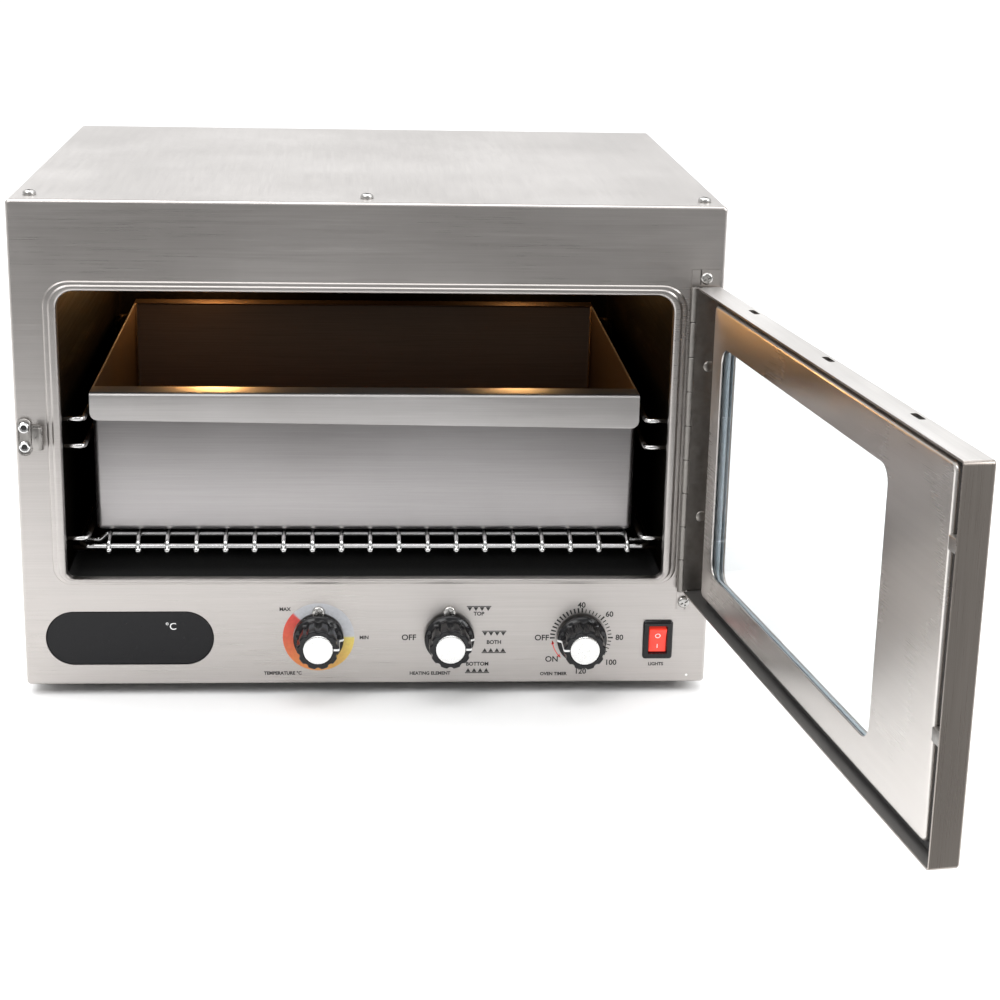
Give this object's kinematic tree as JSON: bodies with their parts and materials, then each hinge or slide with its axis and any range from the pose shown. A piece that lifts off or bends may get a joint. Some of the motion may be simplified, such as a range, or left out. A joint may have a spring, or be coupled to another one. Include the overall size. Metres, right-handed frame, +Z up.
{
  "type": "counter-top oven",
  "caption": "Small stainless-steel counter-top oven with its side-hinged glass door open, a roasting pan on a wire shelf, an oblong display, knobs and a red light rocker.",
  "frame": {"origin": "centre of the flat pressed pad under the base plate", "axes": "+Z up, -Y towards the front the door opens at, +X to the right seen from the front"},
  "size_m": [0.4235, 0.6341, 0.265],
  "materials": {
    "brushed_steel": "horizontally brushed stainless steel",
    "dark_steel": "dull plated steel",
    "liner_steel": "heat-stained stainless steel",
    "chrome_wire": "bright chromed wire",
    "pan_aluminium": "satin pressed aluminium",
    "bright_aluminium": "bright turned or plated",
    "black_plastic": "gloss black moulding",
    "red_plastic": "translucent red, lit from behind",
    "black_rubber": "matte",
    "door_glass": "clear toughened glass",
    "display_glass": "black tinted",
    "mineral_wool": "matted fibre",
    "element_sheath": "dark oxidised sheath",
    "control_housing": "moulded heat-proof resin",
    "lamp_glass": "warm frosted glass"
  },
  "bodies": {
    "cabinet": {"front_panel": "brushed_steel", "outer_wrap": "brushed_steel", "rear_cover": "brushed_steel", "base_plate": "dark_steel", "heat_shield": "dark_steel", "hinge_fixed_leaf": "dark_steel", "cavity_liner": "liner_steel", "side_rack_left": "chrome_wire", "side_rack_right": "chrome_wire", "temperature_probe": "pan_aluminium", "roof_screw_left": "bright_aluminium", "roof_screw_middle": "bright_aluminium", "roof_screw_right": "bright_aluminium", "temperature_screw": "bright_aluminium", "element_screw": "bright_aluminium", "hinge_pin": "bright_aluminium", "hinge_screw_upper": "bright_aluminium", "hinge_screw_lower": "bright_aluminium", "latch_keeper": "bright_aluminium", "display_module": "black_plastic", "light_switch_body": "black_plastic", "power_inlet": "black_rubber", "foot_front_left": "black_rubber", "foot_front_right": "black_rubber", "foot_rear_left": "black_rubber", "foot_rear_right": "black_rubber", "display_lens": "display_glass", "insulation_blanket": "mineral_wool", "heating_element_upper": "element_sheath", "heating_element_lower": "element_sheath", "thermostat_body": "control_housing", "selector_body": "control_housing", "timer_body": "control_housing", "oven_lamp_left": "lamp_glass", "oven_lamp_right": "lamp_glass"},
    "door": {"door_shell": "brushed_steel", "door_inner_panel": "brushed_steel", "door_outer_glass": "door_glass", "door_inner_glass": "door_glass", "door_glass_spacer": "bright_aluminium", "door_seal": "black_rubber", "hinge_door_leaf": "dark_steel", "leaf_rivet_upper": "bright_aluminium", "leaf_rivet_lower": "bright_aluminium", "latch_base": "bright_aluminium"},
    "latch_lever": {"latch_lever": "bright_aluminium"},
    "latch_bail": {"latch_bail": "chrome_wire"},
    "temperature_knob": {"temperature_knob": "black_plastic", "temperature_knob_cap": "bright_aluminium", "temperature_shaft": "bright_aluminium"},
    "element_knob": {"element_knob": "black_plastic", "element_knob_cap": "bright_aluminium", "element_shaft": "bright_aluminium"},
    "timer_knob": {"timer_knob": "black_plastic", "timer_knob_cap": "bright_aluminium", "timer_shaft": "bright_aluminium"},
    "light_rocker": {"light_rocker": "red_plastic"},
    "shelf": {"wire_shelf": "chrome_wire"},
    "pan": {"roasting_pan": "pan_aluminium"}
  },
  "joints": [
    {"name": "door_hinge", "type": "hinge", "parent": "cabinet", "child": "door", "pos_m": [0.1648, -0.1544, 0.1376], "axis": [0, 0, 1], "range_deg": [-98.2, 1.2]},
    {"name": "latch_lever_hinge", "type": "hinge", "parent": "door", "child": "latch_lever", "pos_m": [0.22618, -0.45482, 0.139], "axis": [0, 0, -1], "range_deg": [0, 120]},
    {"name": "latch_bail_hinge", "type": "hinge", "parent": "latch_lever", "child": "latch_bail", "pos_m": [0.22435, -0.44498, 0.139], "axis": [0, 0, 1], "range_deg": [-170, 0]},
    {"name": "temperature_turn", "type": "hinge", "parent": "cabinet", "child": "temperature_knob", "pos_m": [-0.0267, -0.1536, 0.0294], "axis": [0, 1, 0], "range_deg": [0, 225]},
    {"name": "element_turn", "type": "hinge", "parent": "cabinet", "child": "element_knob", "pos_m": [0.0424, -0.1536, 0.0294], "axis": [0, 1, 0], "range_deg": [-180, 45]},
    {"name": "timer_turn", "type": "hinge", "parent": "cabinet", "child": "timer_knob", "pos_m": [0.113, -0.1536, 0.0285], "axis": [0, 1, 0], "range_deg": [-40, 270]},
    {"name": "light_tip", "type": "hinge", "parent": "cabinet", "child": "light_rocker", "pos_m": [0.15395, -0.1485, 0.0276], "axis": [1, 0, 0], "range_deg": [-20, 0]},
    {"name": "shelf_slide", "type": "slide", "parent": "cabinet", "child": "shelf", "axis": [0, -1, 0], "range_m": [0, 0.2]},
    {"name": "pan_slide", "type": "slide", "parent": "shelf", "child": "pan", "axis": [0, -1, 0], "range_m": [0, 0.25]}
  ]
}
